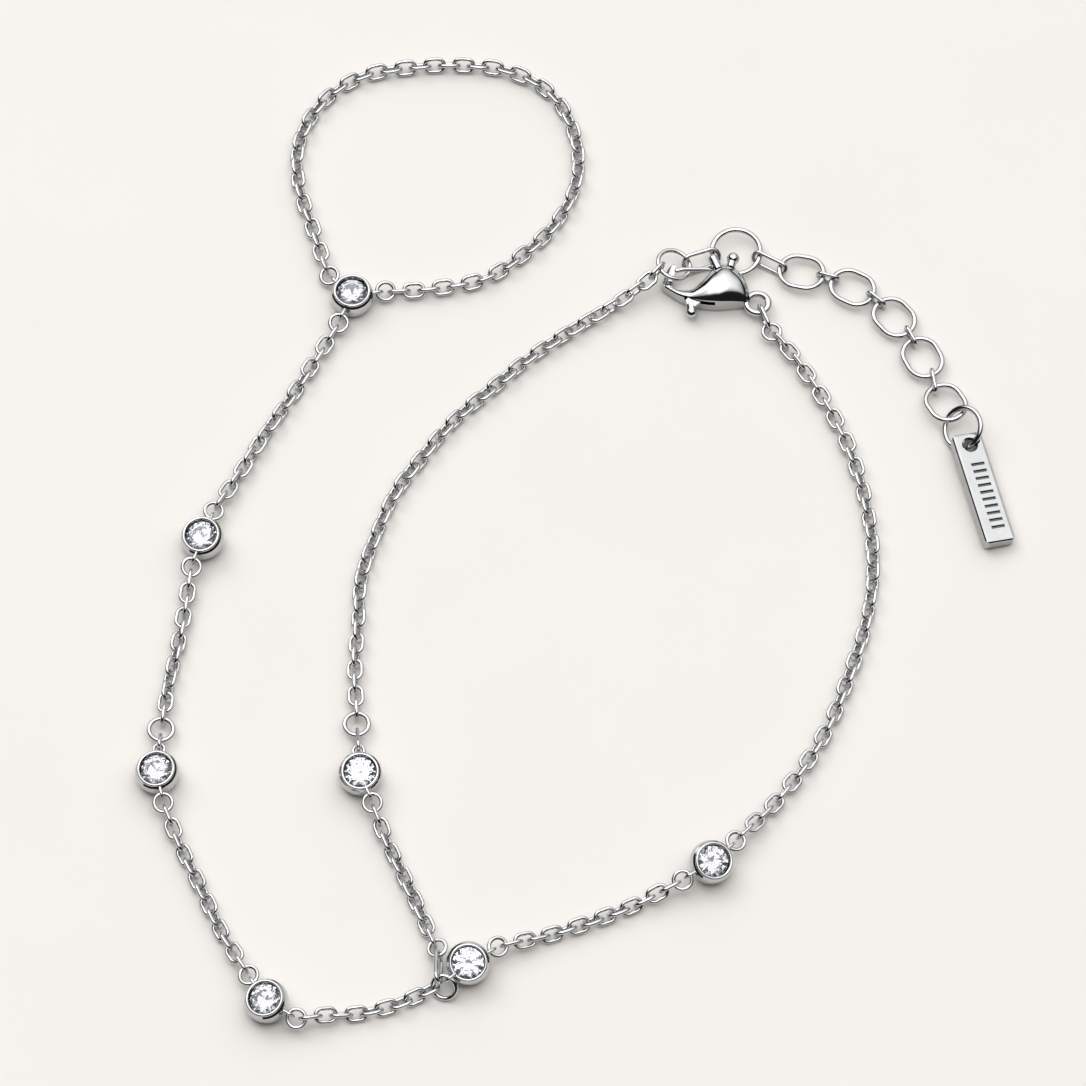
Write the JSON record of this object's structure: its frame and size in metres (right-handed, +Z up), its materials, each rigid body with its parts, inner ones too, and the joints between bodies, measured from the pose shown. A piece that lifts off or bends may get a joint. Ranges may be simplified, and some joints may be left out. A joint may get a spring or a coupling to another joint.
{
  "type": "hand chain",
  "caption": "Fine silver hand chain lying flat: a finger loop, a hand strand and a wrist loop joined at ball settings with round stones, with a lobster clasp, an extender and a tag",
  "frame": {"origin": "centre of the bounding box at the plane it lies on", "axes": "+Z up from that plane, +Y from the wrist loop toward the finger loop, +X toward the extender"},
  "size_m": [0.0652, 0.0822, 0.0027],
  "materials": {
    "silver": "polished white metal",
    "stone": "clear cut stone"
  },
  "bodies": {
    "chain": {"setting_1": "silver", "setting_2": "silver", "setting_3": "silver", "setting_4": "silver", "setting_5": "silver", "setting_6": "silver", "setting_7": "silver", "stone_1": "stone", "stone_2": "stone", "stone_3": "stone", "stone_4": "stone", "stone_5": "stone", "stone_6": "stone", "stone_7": "stone", "finger_ring_left": "silver", "finger_ring_right": "silver", "finger_ring_low": "silver", "hand_ring_1": "silver", "hand_ring_2": "silver", "wrist_ring_left": "silver", "hand_ring_4": "silver", "hand_ring_5": "silver", "hand_ring_6": "silver", "wrist_ring_front": "silver", "wrist_ring_right": "silver", "wrist_ring_corner": "silver", "clasp_ring": "silver", "wrist_ring_large": "silver", "hand_ring_large": "silver", "junction_ring_low": "silver", "junction_ring_up": "silver", "end_ring": "silver", "extender_ring": "silver", "tag_ring": "silver", "hand_chain_1": "silver", "hand_chain_2": "silver", "hand_chain_3": "silver", "hand_chain_4": "silver", "wrist_chain_left": "silver", "wrist_chain_middle": "silver", "wrist_chain_front": "silver", "wrist_chain_right": "silver", "finger_chain": "silver", "wrist_link": "silver", "hand_link": "silver", "junction_link": "silver", "clasp_link": "silver", "end_link": "silver", "extender_link": "silver", "extender_oval_1": "silver", "extender_oval_2": "silver", "extender_oval_3": "silver", "extender_oval_4": "silver", "extender_oval_5": "silver", "extender_connectors": "silver", "tag": "silver", "clasp_body": "silver"},
    "lever": {"clasp_lever": "silver"}
  },
  "joints": [
    {"name": "clasp_lever_pivot", "type": "hinge", "parent": "chain", "child": "lever", "pos_m": [0.0109, 0.02155, 0.00117], "axis": [0, 0, 1], "range_deg": [0, 12], "stiffness_Nm_per_rad": 0.00002, "springref_deg": -20.05}
  ]
}
